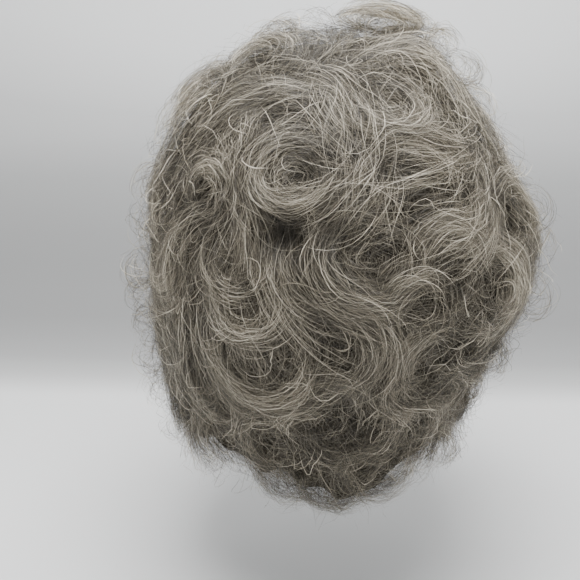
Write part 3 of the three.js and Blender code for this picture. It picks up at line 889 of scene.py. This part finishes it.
# a socket in a node tree, with the sums the finishes below use
class Wire:
    def __init__(self, tree, socket):
        self.tree, self.socket = tree, socket

    def make(self, kind, settings=None, **inputs):
        node = self.tree.nodes.new(kind)
        for key, value in (settings or {}).items():
            if key == "stops":
                while len(node.color_ramp.elements) < len(value):
                    node.color_ramp.elements.new(0.5)
                for element, (place, colour) in zip(node.color_ramp.elements, value):
                    element.position, element.color = place, (*colour, 1)
            else:
                setattr(node, key, value)
        for key, value in inputs.items():
            # a socket's own name, or n and its number
            self.plug(node.inputs[int(key[1:]) if key[1:].isdigit() else key], value)
        return node

    def plug(self, socket, value):
        if isinstance(value, Wire):
            self.tree.links.new(value.socket, socket)
        else:
            socket.default_value = value

    def feed(self, shader, inputs):
        for key, value in inputs.items():
            self.plug(shader.inputs[key], value)

    def axes(self, vector):
        split = self.make("ShaderNodeSeparateXYZ", None, Vector=vector)
        return [self.to(split, k) for k in range(3)]

    def to(self, node, output=0):
        return Wire(self.tree, node.outputs[output])

    def sum(self, operation, first, second):
        return self.to(self.make("ShaderNodeMath", {"operation": operation}, n0=first, n1=second))

    def __add__(self, other):
        return self.sum("ADD", self, other)

    def __radd__(self, other):
        return self.sum("ADD", other, self)

    def __sub__(self, other):
        return self.sum("SUBTRACT", self, other)

    def __rsub__(self, other):
        return self.sum("SUBTRACT", other, self)

    def __mul__(self, other):
        return self.sum("MULTIPLY", self, other)

    def __rmul__(self, other):
        return self.sum("MULTIPLY", other, self)


def newFinish(name):
    finish = bpy.data.materials.new(name)
    finish.use_nodes = True
    shader = finish.node_tree.nodes["Principled BSDF"]
    return finish, shader, Wire(finish.node_tree, None)


# grey hair: tone picks a colour from dark to near white, and painted shade darkens hair deep down while
# painted light brightens the crests a little
hairFinish = {"stops": [(0.0, (0.016, 0.0129, 0.0087)), (0.25, (0.073, 0.061, 0.043)),
                        (0.5, (0.22, 0.191, 0.14)), (0.75, (0.45, 0.4, 0.306)), (1.0, (0.88, 0.805, 0.65))],
              # painted shade by depth, rising a little past white at the crests as painted light
              "depth": [(0.0, (0.07, 0.065, 0.058)), (0.35, (0.31, 0.302, 0.286)),
                        (0.6, (0.66, 0.655, 0.645)), (1.0, (1.15, 1.15, 1.15))],
              "roughness": 0.42, "paleRougher": 0.12, "specular": 0.45}


def hairMaterial():
    finish, shader, wire = newFinish("greyHair")
    uv = wire.to(wire.make("ShaderNodeUVMap", {"uv_map": "OFBake"}))
    tone, along = wire.axes(uv)[:2]
    colour = wire.to(wire.make("ShaderNodeValToRGB", {"stops": hairFinish["stops"]}, Fac=tone))
    # the map's v holds the painted depth shade, not a place along the strand
    depth = wire.to(wire.make("ShaderNodeValToRGB", {"stops": hairFinish["depth"]}, Fac=along))
    shadedByDepth = wire.make("ShaderNodeMix", {"data_type": "RGBA", "blend_type": "MULTIPLY"},
                       n0=1.0, n6=colour, n7=depth)
    rough = hairFinish["roughness"] + tone * hairFinish["paleRougher"]
    wire.feed(shader, {"Base Color": wire.to(shadedByDepth, 2), "Roughness": rough,
                       "Specular IOR Level": hairFinish["specular"]})
    return finish


# under-layer: the same hair seen deep down, streaked along the curls, its colours darkened far below the
# strands' own as painted shade for the depth
underFinish = {"stretch": (170.0, 7.0, 1), "relief": 0.8 * mm, "roughness": 0.9, "specular": 0.1,
               "stops": [(0.30, (0.010, 0.0085, 0.0063)), (0.45, (0.034, 0.0295, 0.0226)),
                         (0.58, (0.10, 0.0885, 0.07)), (0.72, (0.27, 0.243, 0.196))]}


def underMaterial():
    finish, shader, wire = newFinish("deepShadedHair")
    uv = wire.to(wire.make("ShaderNodeUVMap", {"uv_map": "OFBake"}))
    stretch = wire.to(wire.make("ShaderNodeMapping", None, Vector=uv, Scale=underFinish["stretch"]))
    noise = wire.make("ShaderNodeTexNoise", {"noise_dimensions": "2D"}, Vector=stretch, Scale=1.0, Detail=2.0)
    streak = wire.to(noise)
    colour = wire.to(wire.make("ShaderNodeValToRGB", {"stops": underFinish["stops"]}, Fac=streak))
    bump = wire.make("ShaderNodeBump", None, Height=streak, Strength=0.5, Distance=underFinish["relief"])
    wire.feed(shader, {"Base Color": colour, "Normal": wire.to(bump), "Roughness": underFinish["roughness"],
                       "Specular IOR Level": underFinish["specular"]})
    return finish


# cap: dark stretch net, with a row of weft stitching every few millimetres
capFinish = {"wefts": 11 * mm, "net": 1.6 * mm, "relief": 0.6 * mm, "roughness": 0.85,
             "gap": (0.012, 0.011, 0.010, 1), "thread": (0.055, 0.050, 0.044, 1),
             "stitch": (0.10, 0.092, 0.08, 1)}


def capMaterial():
    finish, shader, wire = newFinish("capNet")
    x, y, z = wire.axes(wire.to(wire.make("ShaderNodeTexCoord"), "Object"))

    # soft stripes: up and down once in each pitch, then cut smoothly between two levels
    def toAndFro(line, pitch):
        return wire.sum("PINGPONG", line * (1 / pitch), 0.5) * 2

    def cut(value, low, high):
        smooth = {"interpolation_type": "SMOOTHSTEP"}
        return wire.to(wire.make("ShaderNodeMapRange", smooth, Value=value, n1=low, n2=high))

    band = cut(toAndFro(z, capFinish["wefts"]), 0.62, 0.86)
    slants = toAndFro(x + y + z, capFinish["net"]), toAndFro(x - y - z, capFinish["net"])
    net = cut(wire.sum("MAXIMUM", *slants), 0.6, 0.9)
    mix = {"data_type": "RGBA"}
    cloth = wire.make("ShaderNodeMix", mix, n0=net, n6=capFinish["gap"], n7=capFinish["thread"])
    sewn = wire.make("ShaderNodeMix", mix, n0=band, n6=wire.to(cloth, 2), n7=capFinish["stitch"])
    high = net * 0.4 + band
    bump = wire.make("ShaderNodeBump", None, Height=high, Strength=0.7, Distance=capFinish["relief"])
    wire.feed(shader, {"Base Color": wire.to(sewn, 2), "Normal": wire.to(bump),
                       "Roughness": capFinish["roughness"]})
    return finish


grey, shadedUnder, net = hairMaterial(), underMaterial(), capMaterial()
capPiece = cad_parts["wig_cap"]
for place in capPiece.material_slots:
    place.material = net


def settle(piece, material, slot, *nodes):
    piece.data.materials.append(material)
    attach(piece, "root")
    if nodes:
        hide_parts(*nodes)


locked, filled, stray, arches = lockStrands(), fillStrands(), strayStrands(), archStrands()
loops, ends = loopStrands(), hemStrands()
print("strands of locks, fill, flyaways, arches, loops and hem:",
      *(len(strands[0]) for strands in (locked, filled, stray, arches, loops, ends)))
for area in areaRanges:
    for kind, (paths, thick, tone) in (("locks", locked), ("fill", filled)):
        mine = areaOf(paths, area)
        piece = ribbonMesh(f"{area}_{kind}", paths[mine], thick[mine], tone[mine], ribbon["roll"])
        settle(piece, grey, "grey_hair", f"hair_{area}")
        print(piece.name, mine.sum(), "strands", len(piece.data.polygons), "faces")
for name, strands in (("flyaways", stray), ("arches", arches), ("edge_loops", loops), ("hem_ends", ends)):
    piece = ribbonMesh(name, *strands, ribbon["looseRoll"])
    settle(piece, grey, "grey_hair")
    print(name, len(piece.data.polygons), "faces")
under = underMesh("under_layer")
settle(under, shadedUnder, "grey_hair")
print("under layer", len(under.data.polygons), "faces")


# camera or light at a place, looking ahead
def aimed(name, data, at, ahead):
    holder = bpy.data.objects.new(name, data)
    holder.location = at
    holder.rotation_mode = "QUATERNION"
    holder.rotation_quaternion = ahead.to_track_quat("-Z", "Y")
    bpy.context.scene.collection.objects.link(holder)
    return holder


# camera: straight behind the wig and a little above it, aimed so that the cap's middle shows right of the
# picture's middle and above it
shot = {"away": 0.66, "above": 16.0, "turn": 180.0, "mmPerPixel": 0.63, "pixels": 580, "middleAt": (338, 262),
        "sensor": 36}
back = direction(shot["turn"], shot["above"])
right = unit(np.cross(-back, np.array([0, 0, 1.0])))
up = np.cross(right, -back)
half = shot["pixels"] / 2
aside, above = shot["middleAt"][0] - half, half - shot["middleAt"][1]
aim = middle - (right * aside + up * above) * shot["mmPerPixel"] * mm
spot = middle + back * shot["away"]
lens = bpy.data.cameras.new("camera")
lens.sensor_width = shot["sensor"]
lens.lens = shot["sensor"] * shot["away"] / (shot["mmPerPixel"] * mm) / shot["pixels"]
bpy.context.scene.camera = aimed("camera", lens, spot, Vector(aim - spot))

# stage: a round pale floor that bends up into a wall all round, far enough off to stand behind every view
sweep = {"floor": -0.285, "hub": 0.5, "flat": 1.7, "bend": 0.9, "wall": 1.9, "columns": 96,
         "colour": np.array([0.62, 0.625, 0.625]),
         # painted light and shade along the paper, by distance towards the back
         "paintedLightFalloff": [(0.0, 1.18), (0.085, 1.1), (0.103, 0.69), (0.122, 0.5), (0.144, 0.43), (0.168, 0.385),
                   (0.25, 0.405), (0.30, 0.44), (0.458, 0.6), (0.71, 0.97), (0.828, 1.38), (0.92, 1.6)]}


def sweepMesh():
    # floor line, quarter circle and wall line in one profile, turned about the upright axis
    a = np.linspace(0, np.pi / 2, 24)
    far = sweep["flat"] + sweep["bend"]
    out = np.concatenate([[sweep["hub"]], sweep["flat"] + sweep["bend"] * np.sin(a), [far]])
    up = np.concatenate([[0], sweep["bend"] * (1 - np.cos(a)), [sweep["wall"]]]) + sweep["floor"]
    c = np.arange(sweep["columns"])
    c2 = (c + 1) % len(c)
    turn = c * 2 * np.pi / len(c)
    x, y = out[:, None] * np.sin(turn), out[:, None] * np.cos(turn)
    verts = np.stack([x, y, up[:, None] + 0 * turn], -1).reshape(-1, 3)
    r = np.arange(len(out) - 1)[:, None] * len(c)
    quads = np.stack([r + c, r + len(c) + c, r + len(c) + c2, r + c2], -1).reshape(-1, 4)[:, ::-1]
    hub = np.stack([0 * c + len(verts), c2, c], -1)
    verts = np.concatenate([verts, [[0, 0, sweep["floor"]]]])
    loops, starts = faceRun(quads, hub)
    return meshFrom("sweep", verts, loops, starts, np.zeros((len(loops), 2)))


# paper: pale, with painted shade behind the wig and painted light, paler again, further off, standing in for
# how the light falls over floor and wall
def paperMaterial():
    finish, shader, wire = newFinish("paper")
    y = wire.axes(wire.to(wire.make("ShaderNodeTexCoord"), "Object"))[1]
    far = y * (-1 / (sweep["flat"] + sweep["bend"]))
    stops = [(place, sweep["colour"] * tone) for place, tone in sweep["paintedLightFalloff"]]
    colour = wire.to(wire.make("ShaderNodeValToRGB", {"stops": stops}, Fac=far))
    wire.feed(shader, {"Base Color": colour, "Roughness": 0.9})
    return finish


floor = sweepMesh()
floor.data.materials.append(paperMaterial())

# light: a broad soft box overhead, one for the backdrop, weak fills from both sides and from the camera's,
# and an even sky
lights = [
    {"name": "overhead", "at": (0.0, 0.18, 0.95), "to": (0, 0.02, -0.1), "size": 0.8, "power": 27.6},
    {"name": "backdrop", "at": (0.0, -1.5, 1.5), "to": (0, -1.9, -0.2), "size": 1.6, "power": 34.0},
    {"name": "leftFill", "at": (1.2, 0.1, 0.2), "to": (0, 0, -0.1), "size": 0.9, "power": 2.8},
    {"name": "rightFill", "at": (-1.2, 0.1, 0.2), "to": (0, 0, -0.1), "size": 0.9, "power": 2.8},
    {"name": "frontFill", "at": (0.1, 1.2, 0.45), "to": (0, 0, -0.12), "size": 0.9, "power": 3.3},
]
for light in lights:
    lamp = bpy.data.lights.new(light["name"], "AREA")
    lamp.size, lamp.energy = light["size"], light["power"]
    aimed(light["name"], lamp, light["at"], Vector(light["to"]) - Vector(light["at"]))
skyLight = {"colour": (0.95, 0.97, 1.0, 1), "strength": 0.325}
sky = bpy.data.worlds.new("sky")
sky.use_nodes = True
sky.node_tree.nodes["Background"].inputs["Color"].default_value = skyLight["colour"]
sky.node_tree.nodes["Background"].inputs["Strength"].default_value = skyLight["strength"]
bpy.context.scene.world = sky

print("stage, light and camera set")
